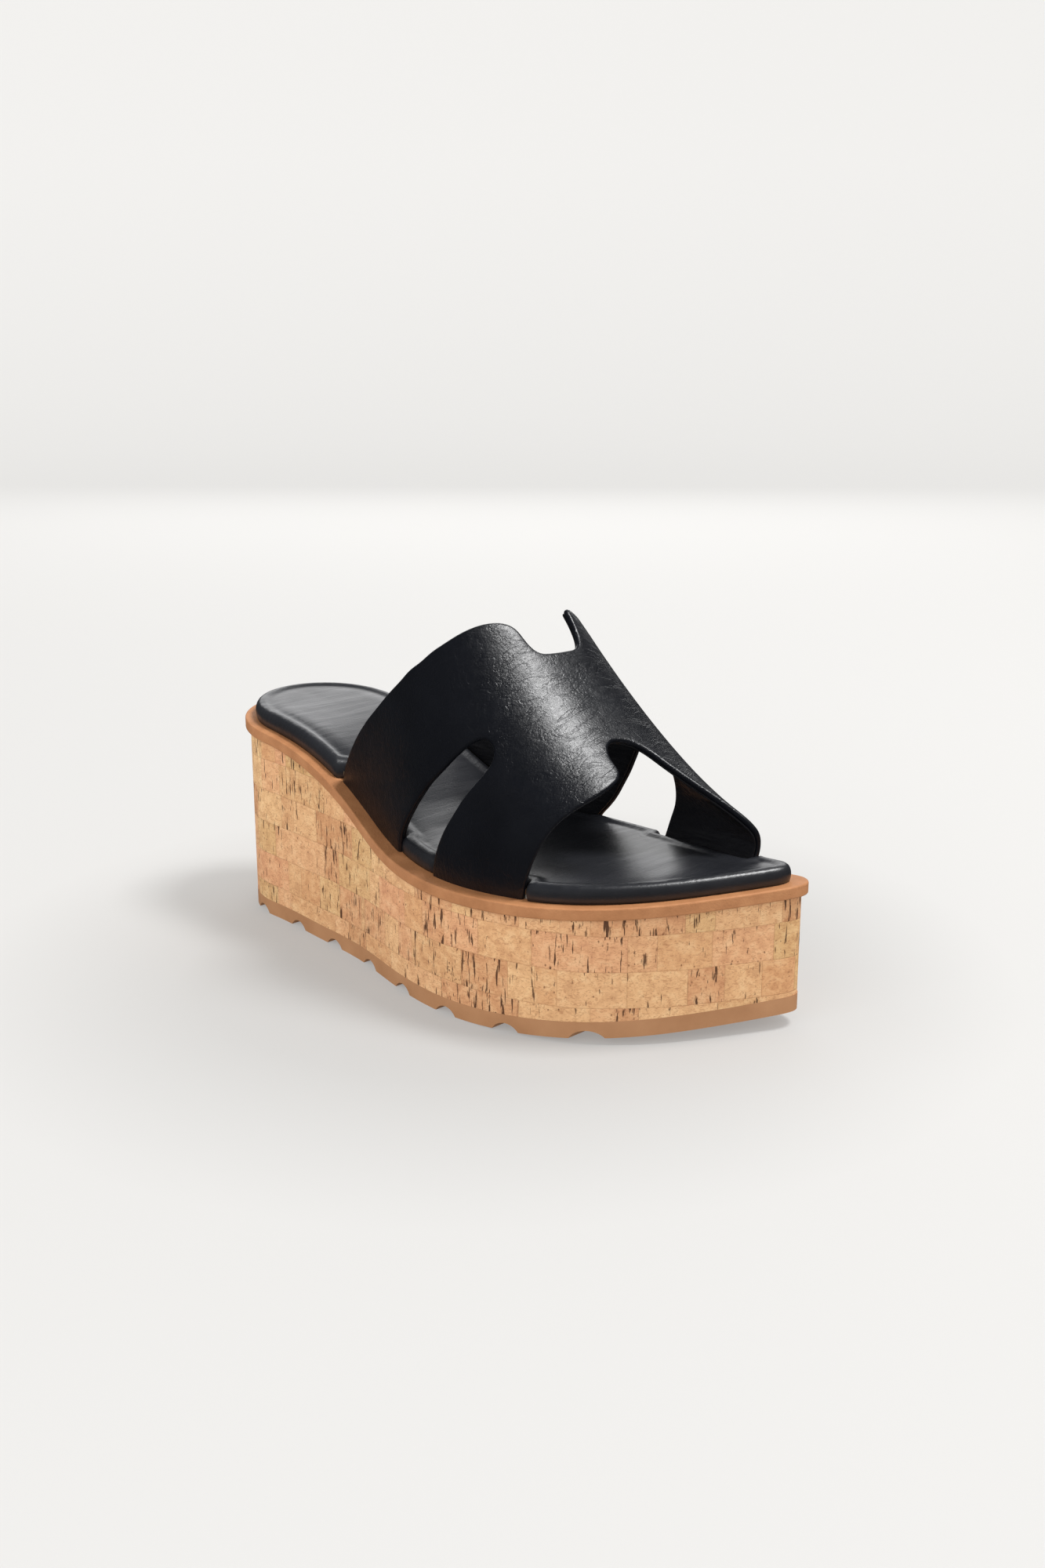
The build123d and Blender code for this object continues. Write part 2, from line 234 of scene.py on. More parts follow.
front_edge = [
    (101.5, 38.5, 55.3), (102.3, 39.9, 60.3), (102.2, 39.3, 65.5), (100.2, 37.5, 69.5), (97, 35, 72.8),
    (93, 32, 76), (89, 29.3, 79.7), (84.5, 26, 83.4), (79.5, 22.7, 86.9), (74.5, 19.8, 90.1),
    (69.8, 16.9, 93.3), (66, 13, 95.7), (64, 8.6, 97), (63.6, 4.2, 97.3), (64.6, 0.9, 96.4),
    (66.6, -0.8, 95), (68.6, -1.5, 93.6), (71.5, -1.8, 91.8), (74, -2.4, 90.2), (75.4, -4.6, 88.9),
    (76, -7.6, 87.6), (76, -11.1, 86.1), (75.4, -15.7, 83.9), (74, -20.1, 81.6), (72.2, -23.9, 79.1),
    (70.4, -27.6, 75.9), (68, -31.6, 70.4), (65.5, -34.6, 62.6), (63.2, -36.1, 54.3), (61.8, -36.2, 50),
]
outer_slot = [
    (21, 50), (22.6, 54.5), (24.8, 60), (28.2, 66.6), (32.3, 73.3), (34.8, 77.8), (37.4, 82.2), (40.1, 86.4),
    (42.1, 90.6), (42.3, 94), (40.9, 97), (38.4, 98.7), (35.8, 98.6), (33.2, 96.8), (30.6, 94),
    (28, 91), (25.2, 87.6), (22, 84.2), (18.5, 80.6), (15, 76.4), (11.4, 72.1), (7.6, 67.4), (4, 62.8),
    (0.6, 57.4), (-1.4, 52.5),
]


def by_place(points):
    return [(x, arch.girth(x, y, z)) for x, y, z in points]


def by_height(points, side):
    return [(x, arch.girth_at(x, z, side)) for x, z in points]


def strap_outline(step=1.25):
    """The strap's closed outline in (x, s)."""
    rear = by_place(rear_outer) + by_height(rear_inner, 1)
    slot_in = by_height(inner_slot, 1)
    front = by_place(front_edge)
    slot_out = by_height(outer_slot, -1)
    sides = []
    for points, start, stop in ((rear, -1, 1), (slot_in, 1, 1), (front, 1, -1), (slot_out, -1, -1)):
        points[0] = (points[0][0], float(arch.foot_s(points[0][0], start)) + start * FOOT_TUCK)
        points[-1] = (points[-1][0], float(arch.foot_s(points[-1][0], stop)) + stop * FOOT_TUCK)
        sides.append(points)
    loop = []
    for number, points in enumerate(sides):
        curve = relax(even(curve_through(points), 0.8), 10)
        here, following = points[-1][0], sides[(number + 1) % 4][0][0]
        side = 1 if number in (0, 1) else -1
        xs = np.linspace(here, following, max(3, int(abs(following - here) / step)))[1:-1]
        foot = np.stack([xs, arch.foot_s(xs, side) + side * FOOT_TUCK], -1)
        place = arch.point(curve[:, 0], curve[:, 1])
        along = np.concatenate([[0], np.cumsum(np.linalg.norm(np.diff(place, axis=0), axis=1))])
        walk = np.linspace(0, along[-1], int(along[-1] / step) + 1)
        curve = np.stack([np.interp(walk, along, curve[:, k]) for k in (0, 1)], -1)
        loop += [curve, foot]
    return np.vstack(loop)


def inside(points, loop):
    x, y = points[:, 0:1], points[:, 1:2]
    x1, y1 = loop[:, 0], loop[:, 1]
    x2, y2 = np.roll(x1, -1), np.roll(y1, -1)
    crosses = (y1 > y) != (y2 > y)
    at = x1 + (y - y1) * (x2 - x1) / np.where(y2 == y1, 1e-9, y2 - y1)
    return (crosses & (x < at)).sum(1) % 2 == 1


def gap_to(points, loop):
    """Distance from each point to the closed polyline."""
    a, b = loop, np.roll(loop, -1, 0)
    best = np.full(len(points), 1e9)
    for start in range(0, len(points), 2000):
        p = points[start : start + 2000, None]
        t = np.clip(((p - a) * (b - a)).sum(-1) / np.maximum(((b - a) ** 2).sum(-1), 1e-9), 0, 1)
        best[start : start + 2000] = np.linalg.norm(p - a - t[..., None] * (b - a), axis=-1).min(1)
    return best


def hexes(low, high, step_x, step_y):
    """Points of a triangular grid over a rectangle."""
    points = []
    for row, y in enumerate(np.arange(low[1], high[1], step_y * 0.866)):
        xs = np.arange(low[0] + (row % 2) * step_x / 2, high[0], step_x)
        points.append(np.stack([xs, np.full_like(xs, y)], -1))
    return np.vstack(points)


def fill(loop, extra):
    """Triangles over the loop's inside: vertices, faces, and the vertex of each point of the loop."""
    points = [Vector(p) for p in np.vstack([loop, extra])]
    count = len(loop)
    edges = [(k, (k + 1) % count) for k in range(count)]
    out = delaunay_2d_cdt(points, edges, [], 1, 1e-5)
    verts = np.array([tuple(v) for v in out[0]])
    vertex_of = {o[0]: k for k, o in enumerate(out[3]) if o and o[0] < count}
    return verts, [tuple(f) for f in out[2]], [vertex_of[k] for k in range(count)]


def closed_sheet(faces, total, order, ring_count):
    """Faces of a closed sheet: its top, its bottom turned over, and the rings of its edge between them."""
    count = len(order)
    rings = [order] + [[2 * total + k * count + n for n in range(count)] for k in range(ring_count)]
    rings.append([total + k for k in order])
    made = [tuple(f) for f in faces] + [tuple(total + k for k in reversed(f)) for f in faces]
    for one, two in zip(rings[:-1], rings[1:]):
        for k in range(count):
            n = (k + 1) % count
            made.append((one[k], one[n], two[n], two[k]))
    return made


def make(name, verts, faces, material):
    """A smooth mesh piece from points in millimetres, riding on the part's only body."""
    mesh = bpy.data.meshes.new(name)
    mesh.from_pydata([tuple(v) for v in np.asarray(verts) / 1000], [], faces)
    work = bmesh.new()
    work.from_mesh(mesh)
    bmesh.ops.recalc_face_normals(work, faces=work.faces)
    work.to_mesh(mesh)
    work.free()
    mesh.shade_smooth()
    piece = bpy.data.objects.new(name, mesh)
    bpy.context.scene.collection.objects.link(piece)
    mesh.materials.append(material)
    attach(piece, "root")
    return piece


def add_attribute(piece, name, values):
    layer = piece.data.attributes.new(name, "FLOAT", "POINT")
    layer.data.foreach_set("value", np.asarray(values, np.float32))


# ---------------------------------------------------------------- materials


def linear(r, g, b):
    out = [c / 255 / 12.92 if c / 255 <= 0.04045 else ((c / 255 + 0.055) / 1.055) ** 2.4 for c in (r, g, b)]
    return (*out, 1.0)


class Shade:
    """A procedural material built node by node."""

    def __init__(self, name, colour=(0.5, 0.5, 0.5, 1), roughness=0.5, **settings):
        self.material = bpy.data.materials.new(name)
        self.material.use_nodes = True
        self.tree = self.material.node_tree
        self.bsdf = next(n for n in self.tree.nodes if n.type == "BSDF_PRINCIPLED")
        self.set(self.bsdf, "Base Color", colour)
        self.set(self.bsdf, "Roughness", roughness)
        for key, value in settings.items():
            self.set(self.bsdf, key.replace("_", " "), value)
        self._place = None

    def set(self, node, socket, value):
        target = node.inputs[socket]
        if isinstance(value, bpy.types.NodeSocket):
            self.tree.links.new(value, target)
        else:
            target.default_value = value

    def node(self, kind, settings=None, **inputs):
        """A new node; an input is given by its name, or as i0, i1... by its number."""
        made = self.tree.nodes.new(kind)
        for key, value in (settings or {}).items():
            setattr(made, key, value)
        for key, value in inputs.items():
            by_number = key[0] == "i" and key[1:].isdigit()
            self.set(made, int(key[1:]) if by_number else key.replace("_", " "), value)
        return made

    def place(self):
        if self._place is None:
            self._place = self.node("ShaderNodeTexCoord").outputs["Object"]
        return self._place

    def value(self, name):
        return self.node("ShaderNodeAttribute", {"attribute_name": name}).outputs["Fac"]

    def stretch(self, scale, vector=None, turn=(0, 0, 0)):
        mapping = self.node("ShaderNodeMapping", Vector=vector or self.place(), Scale=scale, Rotation=turn)
        return mapping.outputs[0]

    def noise(self, scale, detail=3.0, vector=None, roughness=0.5, distortion=0.0):
        made = self.node("ShaderNodeTexNoise", Vector=vector or self.place(), Scale=scale, Detail=detail,
                         Roughness=roughness, Distortion=distortion)
        return made.outputs[0]

    def cells(self, scale, vector=None):
        made = self.node("ShaderNodeTexVoronoi", Vector=vector or self.place(), Scale=scale)
        return made.outputs["Distance"]

    def math(self, operation, a, b=0.0, clamp=False):
        made = self.node("ShaderNodeMath", {"operation": operation, "use_clamp": clamp})
        self.set(made, 0, a)
        self.set(made, 1, b)
        return made.outputs[0]

    def ramp(self, value, stops):
        made = self.node("ShaderNodeValToRGB", i0=value)
        ramp = made.color_ramp
        ramp.interpolation = "LINEAR"
        while len(ramp.elements) < len(stops):
            ramp.elements.new(0.5)
        for element, (where, colour) in zip(ramp.elements, stops):
            element.position = where
            element.color = colour if isinstance(colour, tuple) else (colour, colour, colour, 1)
        return made.outputs[0]

    def mix(self, amount, a, b, blend="MIX"):
        made = self.node("ShaderNodeMix", {"data_type": "RGBA", "blend_type": blend})
        for index, value in ((0, amount), (6, a), (7, b)):
            self.set(made, index, value)
        return made.outputs[2]

    def combine(self, x, y, z):
        return self.node("ShaderNodeCombineXYZ", X=x, Y=y, Z=z).outputs[0]

    def bump(self, height, distance, strength=1.0, below=None):
        made = self.node("ShaderNodeBump", Height=height, Distance=distance, Strength=strength)
        if below is not None:
            self.set(made, "Normal", below)
        self.set(self.bsdf, "Normal", made.outputs[0])
        return made.outputs[0]

    def colour(self, value):
        self.set(self.bsdf, "Base Color", value)

    def rough(self, value):
        self.set(self.bsdf, "Roughness", value)


def strap_leather():
    m = Shade("strap_leather", roughness=0.4, Specular_IOR_Level=0.5, Coat_Weight=0.15, Coat_Roughness=0.3)
    tone = m.noise(60, 3)
    m.colour(m.ramp(tone, [(0.3, (0.0023, 0.0029, 0.0050, 1)), (0.7, (0.0035, 0.0043, 0.0070, 1))]))
    pebble = m.cells(1300, m.stretch((1, 1, 0.8)))
    fine = m.noise(1200, 4, m.stretch((1, 0.6, 1)), 0.6)
    wrinkle = m.noise(230, 5, m.stretch((1.5, 0.5, 1.0), turn=(0, 0.75, 0.5)), 0.65, 0.6)
    crease = m.noise(80, 4, m.stretch((1.7, 0.45, 1.3), turn=(0, 0.75, 0.4)), 0.6, 0.8)
    crease = m.math("ABSOLUTE", m.math("SUBTRACT", crease, 0.5))
    crease = m.ramp(crease, [(0.0, 0.0), (0.03, 1.0)])
    below = m.bump(crease, 0.00014, 0.45)
    below = m.bump(wrinkle, 0.0005, 0.5, below)
    below = m.bump(fine, 0.00014, 0.6, below)
    m.bump(pebble, 0.00008, 0.5, below)
    m.rough(m.ramp(m.noise(400, 4), [(0.3, 0.31), (0.7, 0.40)]))
    return m.material


def lining_leather():
    m = Shade("lining_leather", colour=(0.0075, 0.0078, 0.0095, 1), roughness=0.34, Specular_IOR_Level=0.5)
    near_foot = m.ramp(m.value("foot_height"), [(0.0, 1.0), (1.0, 0.0)])
    fold = m.noise(150, 4, m.stretch((0.35, 1.0, 1.6), turn=(0, 0.5, 0)), 0.6, 0.7)
    fine = m.noise(900, 4)
    below = m.bump(fold, 0.0016, 0.75)
    m.bump(fine, 0.00015, 0.5, below)
    m.rough(m.mix(near_foot, (0.42, 0.42, 0.42, 1), (0.27, 0.27, 0.27, 1)))
    return m.material


def footbed_leather():
    m = Shade("footbed_leather", roughness=0.38, Specular_IOR_Level=0.6, Coat_Weight=0.2, Coat_Roughness=0.3)
    m.colour(m.ramp(m.noise(50, 3), [
        (0.3, (0.0110, 0.0118, 0.0150, 1)), (0.7, (0.0165, 0.0175, 0.0215, 1)),
    ]))
    line = m.noise(260, 5, m.stretch((1.0, 0.09, 0.4)), 0.62, 0.25)
    fine = m.noise(1300, 3)
    below = m.bump(line, 0.00045, 0.6)
    m.bump(fine, 0.00012, 0.5, below)
    m.rough(m.ramp(line, [(0.3, 0.30), (0.7, 0.44)]))
    return m.material


def rand_leather():
    m = Shade("rand_leather", roughness=0.62, Specular_IOR_Level=0.3)
    tone = m.noise(120, 5, roughness=0.6)
    m.colour(m.ramp(tone, [
        (0.25, linear(162, 110, 71)), (0.5, linear(176, 121, 80)), (0.75, linear(188, 133, 90)),
    ]))
    below = m.bump(m.cells(1500), 0.00014, 0.6)
    m.bump(m.noise(700, 4), 0.00016, 0.6, below)
    return m.material


def outsole_rubber():
    m = Shade("outsole_rubber", roughness=0.56, Specular_IOR_Level=0.35)
    m.colour(m.ramp(m.noise(70, 4), [(0.3, linear(170, 122, 84)), (0.7, linear(184, 136, 97))]))
    m.bump(m.noise(500, 4), 0.00016, 0.5)
    return m.material


def cork():
    """Patchwork cork: level bands of blocks, each with its own tone, dark upright streaks and specks."""
    band, block_length = 13.2, 17.0
    m = Shade("cork", roughness=0.68, Specular_IOR_Level=0.28)
    u, v = m.value("wrap_u"), m.value("wrap_v")
    wave = m.noise(0.035, 2, m.combine(u, v, 0.0))
    level = m.math("ADD", v, m.math("MULTIPLY", m.math("SUBTRACT", wave, 0.5), 2.0))
    row = m.math("FLOOR", m.math("DIVIDE", level, band))
    in_row = m.math("FRACT", m.math("DIVIDE", level, band))
    shift = m.node("ShaderNodeTexWhiteNoise", {"noise_dimensions": "1D"}, W=row).outputs[0]
    shift = m.math("MULTIPLY", shift, 77.0)
    warp = m.noise(0.03, 1, m.combine(u, m.math("MULTIPLY", row, 91.0), 0.0))
    along = m.math("ADD", m.math("ADD", u, shift), m.math("MULTIPLY", warp, 60.0))
    column = m.math("FLOOR", m.math("DIVIDE", along, block_length))
    in_column = m.math("FRACT", m.math("DIVIDE", along, block_length))
    block = m.combine(column, row, 0.5)
    chance = m.node("ShaderNodeTexWhiteNoise", {"noise_dimensions": "3D"}, Vector=block)
    pick, hue = chance.outputs[0], chance.outputs[1]
    hue = m.node("ShaderNodeSeparateColor", i0=hue)
    tone = m.ramp(pick, [
        (0.0, linear(212, 158, 112)), (0.16, linear(230, 186, 138)), (0.34, linear(222, 162, 124)),
        (0.52, linear(233, 192, 142)), (0.68, linear(204, 168, 114)), (0.84, linear(226, 170, 130)),
        (1.0, linear(200, 146, 104)),
    ])
    flat = m.combine(u, v, m.math("MULTIPLY", pick, 60.0))
    cloud = m.ramp(m.noise(0.22, 5, flat, 0.62, 0.4), [
        (0.32, linear(172, 116, 76)), (0.5, linear(220, 170, 122)), (0.68, linear(240, 206, 158)),
    ])
    tone = m.mix(0.40, tone, cloud)
    ripple = m.combine(m.math("MULTIPLY", u, 0.55), m.math("MULTIPLY", v, 1.1), pick)
    ripple = m.noise(1.0, 4, ripple, 0.6, 1.6)
    tone = m.mix(m.ramp(ripple, [(0.50, 0.0), (0.62, 0.5)]), tone, linear(168, 112, 74))
    upright = m.combine(u, m.math("MULTIPLY", v, 0.11), m.math("MULTIPLY", pick, 19.0))
    streak = m.noise(1.0, 3, upright, 0.55, 0.25)
    patchy = m.noise(0.10, 1, flat)
    plenty = m.math("ADD", m.math("MULTIPLY", hue.outputs[0], 0.115), m.math("MULTIPLY", patchy, 0.13))
    edge = m.math("SUBTRACT", 0.752, plenty)
    streak = m.math("MULTIPLY", m.math("SUBTRACT", streak, edge), 22.0, True)
    tone = m.mix(m.math("MULTIPLY", streak, 0.92), tone, linear(72, 42, 26))
    speck = m.cells(0.62, m.combine(u, m.math("MULTIPLY", v, 0.7), 0.0))
    sparse = m.ramp(m.noise(0.16, 2, flat), [(0.50, 0.0), (0.62, 1.0)])
    speck = m.math("MULTIPLY", m.ramp(speck, [(0.10, 1.0), (0.22, 0.0)]), sparse)
    tone = m.mix(m.math("MULTIPLY", speck, 0.7), tone, linear(122, 80, 48))
    seam_row = m.math("MINIMUM", in_row, m.math("SUBTRACT", 1.0, in_row))
    seam_column = m.math("MINIMUM", in_column, m.math("SUBTRACT", 1.0, in_column))
    seam_row = m.math("MULTIPLY", seam_row, band)
    seam_column = m.math("MULTIPLY", seam_column, block_length)
    seam = m.math("MINIMUM", seam_row, seam_column)
    seam = m.ramp(seam, [(0.0, 1.0), (0.28, 0.0)])
    tone = m.mix(m.math("MULTIPLY", seam, 0.30), tone, linear(150, 100, 62))
    m.colour(tone)
    dents = m.math("MAXIMUM", m.math("MAXIMUM", streak, speck), m.math("MULTIPLY", seam, 0.3))
    below = m.bump(m.math("SUBTRACT", 1.0, dents), 0.00035, 0.8)
    m.bump(m.noise(420, 5, roughness=0.65), 0.0003, 0.5, below)
    return m.material


def plain(name, colour, roughness, grain=600, depth=0.0001, metallic=0.0):
    m = Shade(name, roughness=roughness, Metallic=metallic)
    darker = tuple(c * 0.82 for c in colour[:3]) + (1,)
    m.colour(m.ramp(m.noise(grain / 4, 4), [(0.3, darker), (0.7, colour)]))
    m.bump(m.noise(grain, 4), depth, 0.6)
    return m.material


finish = {
    "outsole_rubber": outsole_rubber(),
    "foam": plain("foam", linear(226, 218, 200), 0.8, 900, 0.0003),
    "cork": cork(),
    "rand_leather": rand_leather(),
    "felt": plain("felt", linear(150, 148, 142), 0.95, 1200, 0.0004),
    "spring_steel": plain("spring_steel", linear(142, 146, 152), 0.34, 300, 0.00003, 1.0),
    "fastener_steel": plain("fastener_steel", linear(170, 172, 175), 0.3, 300, 0.00002, 1.0),
    "fibre_board": plain("fibre_board", linear(158, 128, 96), 0.85, 800, 0.0002),
    "footbed_leather": footbed_leather(),
    "strap_leather": strap_leather(),
    "textile": plain("textile", linear(40, 40, 42), 0.9, 1500, 0.0002),
    "lining_leather": lining_leather(),
}

slot_of = {row["node"]: row["material_slot"] for row in frame["record"]["subparts"]}
for name, node in nodes.items():
    node.data.materials.clear()
    node.data.materials.append(finish[slot_of[name]])
    for polygon in node.data.polygons:
        polygon.material_index = 0

# ---------------------------------------------------------------- the strap and its lining


def strap_ply(name, depth, thick, inset, step, slot, rings=6):
    """One ply of the strap: both faces and a rounded edge, depth below the strap's outer surface."""
    loop = strap_outline()
    along_x, along_s, normal = arch.slopes(loop[:, 0], loop[:, 1])
    place = arch.point(loop[:, 0], loop[:, 1])
    run = np.roll(place, -1, 0) - np.roll(place, 1, 0)
    run /= np.linalg.norm(run, axis=1, keepdims=True)
    inward = np.cross(normal, run)
    inward /= np.linalg.norm(inward, axis=1, keepdims=True)
    a11, a12, a22 = (along_x**2).sum(1), (along_x * along_s).sum(1), (along_s**2).sum(1)
    b1, b2 = (inward * along_x).sum(1), (inward * along_s).sum(1)
    det = a11 * a22 - a12**2
    shift = np.stack([(b1 * a22 - b2 * a12) / det, (b2 * a11 - b1 * a12) / det], -1)
    if inside(loop + shift * 2, loop).mean() < 0.5:
        inward, shift = -inward, -shift
    radius = thick / 2
    edge = loop + shift * (inset + radius)
    slope_stretch = 1.32
    grid = hexes(loop.min(0), loop.max(0), step / slope_stretch, step)
    stretch = np.array([slope_stretch, 1.0])
    grid = grid[inside(grid, edge)]
    grid = grid[gap_to(grid * stretch, edge * stretch) > step * 0.55]
    flat, faces, order = fill(edge, grid)
    _, _, fill_normal = arch.slopes(flat[:, 0], flat[:, 1])
    surface = arch.point(flat[:, 0], flat[:, 1])
    outer = surface - fill_normal * depth
    inner = surface - fill_normal * (depth + thick)
    verts = [outer, inner]
    for ring in range(1, rings):
        angle = math.pi * ring / rings
        verts.append(place + inward * (inset + radius - radius * math.sin(angle))
                     - normal * (depth + radius - radius * math.cos(angle)))
    verts = np.vstack(verts)
    piece = make(name, verts, closed_sheet(faces, len(flat), order, rings - 1), finish[slot])
    feet_z = verts[:, 2] - (wedge_top(verts[:, 0]) + RAND_TOP)
    add_attribute(piece, "foot_height", np.clip(feet_z / 35, 0, 1))
    return piece


strap = strap_ply("strap_leather", 0.0, STRAP_THICK, 0.0, 1.7, "strap_leather")
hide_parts("upper_leather", "upper_interlining")
lining = strap_ply("strap_lining", STRAP_THICK + 0.05, LINING_THICK, 0.6, 1.9, "lining_leather", 4)
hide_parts("upper_lining")


# ---------------------------------------------------------------- outlines read from the CAD walls


def wall_outline(node, under, level, step):
    """Plan outline of a CAD node, read at a level over the surface that it follows."""
    mesh = nodes[node].data
    verts = np.array([v.co for v in mesh.vertices]) * 1000
    verts[:, 2] -= under(verts[:, 0])
    mesh.calc_loop_triangles()
    triangles = [tuple(t.vertices) for t in mesh.loop_triangles]
    tree = BVHTree.FromPolygons([tuple(v) for v in verts], triangles)
    heel, toe, middle_y = (-86, 2.5), (84, 4), 2.0
    rays = [(heel, angle) for angle in np.linspace(90, 270, 61)]
    rays += [((x, middle_y), 270) for x in np.arange(-82, 84, 3.0)]
    rays += [(toe, angle) for angle in np.linspace(-90, 90, 91)]
    rays += [((x, middle_y), 90) for x in np.arange(82, -83, -3.0)]
    far_away, ray_length = 200, 260
    out = []
    for (x, y), angle in rays:
        way = Vector((math.cos(math.radians(angle)), math.sin(math.radians(angle)), 0))
        hit = tree.ray_cast(Vector((x, y, level)) + way * far_away, -way, ray_length)[0]
        if hit is not None:
            out.append((hit.x, hit.y))
    return even(relax_closed(even(np.array(out), 1.0, True), 3), step, True)


def relax_closed(points, rounds):
    for _ in range(rounds):
        points = points * 0.5 + (np.roll(points, 1, 0) + np.roll(points, -1, 0)) * 0.25
    return points


def inward_of(loop):
    """Unit vectors across a closed plan outline, pointing to its inside."""
    run = np.roll(loop, -1, 0) - np.roll(loop, 1, 0)
    run /= np.linalg.norm(run, axis=1, keepdims=True)
    way = np.stack([-run[:, 1], run[:, 0]], -1)
    if inside(loop + way, loop).mean() < 0.5:
        way = -way
    return way


# ---------------------------------------------------------------- the cork sheet


def cork_sheet():
    """The sheet around the wedge, starting and ending at its butt seam."""
    seam_x, seam_y = -20, 40
    thick, slack, rows = 1.15, 0.02, 13
    loop = wall_outline("outsole", spring_lift, 4.5, 1.5)
    start = int(np.argmin(np.hypot(loop[:, 0] - seam_x, loop[:, 1] - seam_y)))
    loop = np.roll(loop, -start, 0)
    loop = np.vstack([loop, loop[:1]])
    girth = np.concatenate([[0], np.cumsum(np.linalg.norm(np.diff(loop, axis=0), axis=1))])
    way = inward_of(loop[:-1])
    way = np.vstack([way, way[:1]])
    count = len(loop)
    verts, heights = [], []
    for depth in (0.0, thick):
        flat = loop + way * depth
        low = OUTSOLE_THICK + spring_lift(loop[:, 0]) + slack
        high = wedge_top(loop[:, 0]) - slack
        for row in range(rows):
            level = low + (high - low) * row / (rows - 1)
            verts.append(np.stack([flat[:, 0], flat[:, 1], level], -1))
            heights.append(level)

    def at(face, row, k):
        return (face * rows + row) * count + k

    top = rows - 1
    faces = []
    for k in range(count - 1):
        for row in range(rows - 1):
            faces.append((at(0, row, k), at(0, row, k + 1), at(0, row + 1, k + 1), at(0, row + 1, k)))
            faces.append((at(1, row, k), at(1, row + 1, k), at(1, row + 1, k + 1), at(1, row, k + 1)))
        faces.append((at(0, 0, k), at(1, 0, k), at(1, 0, k + 1), at(0, 0, k + 1)))
        faces.append((at(0, top, k), at(0, top, k + 1), at(1, top, k + 1), at(1, top, k)))
    for k in (0, count - 1):
        for row in range(rows - 1):
            faces.append((at(0, row, k), at(0, row + 1, k), at(1, row + 1, k), at(1, row, k)))
    piece = make("cork_sheet", np.vstack(verts), faces, finish["cork"])
    add_attribute(piece, "wrap_u", np.tile(girth, 2 * rows))
    add_attribute(piece, "wrap_v", np.concatenate(heights))
    piece.data.set_sharp_from_angle(angle=math.radians(40))
    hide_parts("cork_wrap")
    return piece


cork_sheet()

# ---------------------------------------------------------------- the padded footbed

SOCK_SHOULDER = 10.5


def window(x, start, end, blend):
    """1 from start to end, fading to 0 over the blend length outside them."""
    return smooth_step(x, start - blend, start) * (1 - smooth_step(x, end, end + blend))


def over_wedge(plan, level):
    """The plan's points at a height over the wedge's top."""
    return np.stack([plan[:, 0], plan[:, 1], wedge_top(plan[:, 0]) + level], -1)


def footbed_outline():
    """Plan outline of the sock's side, drawn in beside the strap's legs and partly in the slots."""
    spacing, widening = 1.6, 2.4
    loop = wall_outline("footbed_cover", wedge_top, SOCK_SHOULDER, spacing)
    loop = even(relax_closed(loop - inward_of(loop) * widening, 6), spacing, True)
    room = STRAP_THICK + LINING_THICK + 0.35
    for side, fit, rear_leg, front_leg in (
        (-1, outer_fit, (-44.5, -1.4), (21, 61.8)),
        (1, inner_fit, (-49.5, 22.2), (55.5, 101.5)),
    ):
        x = loop[:, 0]
        limit = np.abs(np.polyval(fit, x / 50)) - room
        beside_leg = sum(window(x, a, b, 1.6) for a, b in (rear_leg, front_leg))
        beside_slot = window(x, rear_leg[1], front_leg[0], 2)
        near = np.maximum(beside_leg, 0.45 * beside_slot)
        on_side = (loop[:, 1] * side > 0) & (np.abs(loop[:, 1]) > limit)
        loop[:, 1] = np.where(on_side, loop[:, 1] * (1 - near) + side * limit * near, loop[:, 1])
    return loop


def footbed_top(plan, gap):
    """Height over the wedge: rolled rim, a crease inside it, a swelled middle, dished heel and ball."""
    cup = np.exp(-(((plan[:, 0] + 90) / 26) ** 2 + ((plan[:, 1] - 2.5) / 20) ** 2))
    ball = np.exp(-(((plan[:, 0] - 55) / 26) ** 2 + ((plan[:, 1] - 4) / 28) ** 2))
    height = 10.85 - 0.25 * (gap - 3.3).clip(-1, 0) ** 2
    height = height - 0.85 * smooth_step(gap, 3.6, 5.9)
    height = height + 0.45 * smooth_step(gap, 6.0, 10.5)
    return height - (0.9 * cup + 0.5 * ball) * smooth_step(gap, 7, 18)


def swell(piece, before, hold):
    """Inflate the piece from its points in metres, held by the weights; the move is softly capped."""
    frames, cap = 20, 0.0009
    group = piece.vertex_groups.new(name="held")
    for k, weight in enumerate(hold):
        group.add([k], float(weight), "REPLACE")
    cloth = piece.modifiers.new("swell", "CLOTH")
    cloth.settings.quality = 5
    cloth.settings.mass = 0.3
    cloth.settings.tension_stiffness = 25
    cloth.settings.compression_stiffness = 25
    cloth.settings.shear_stiffness = 10
    cloth.settings.bending_stiffness = 2
    cloth.settings.vertex_group_mass = "held"
    cloth.settings.pin_stiffness = 2
    cloth.settings.use_pressure = True
    cloth.settings.uniform_pressure_force = 4
    cloth.settings.effector_weights.gravity = 0
    cloth.collision_settings.use_self_collision = False
    cloth.point_cache.frame_start = 1
    cloth.point_cache.frame_end = frames
    for number in range(1, frames + 1):
        bpy.context.scene.frame_set(number)
    graph = bpy.context.evaluated_depsgraph_get()
    swelled = piece.evaluated_get(graph).to_mesh()
    after = np.array([v.co for v in swelled.vertices])
    piece.modifiers.remove(cloth)
    piece.vertex_groups.remove(group)
    move = after - before
    size = np.linalg.norm(move, axis=1, keepdims=True)
    move = move * cap / (cap + size)
    piece.data.vertices.foreach_set("co", (before + move).astype(np.float32).ravel())
    piece.data.update()
    bpy.context.scene.frame_set(1)


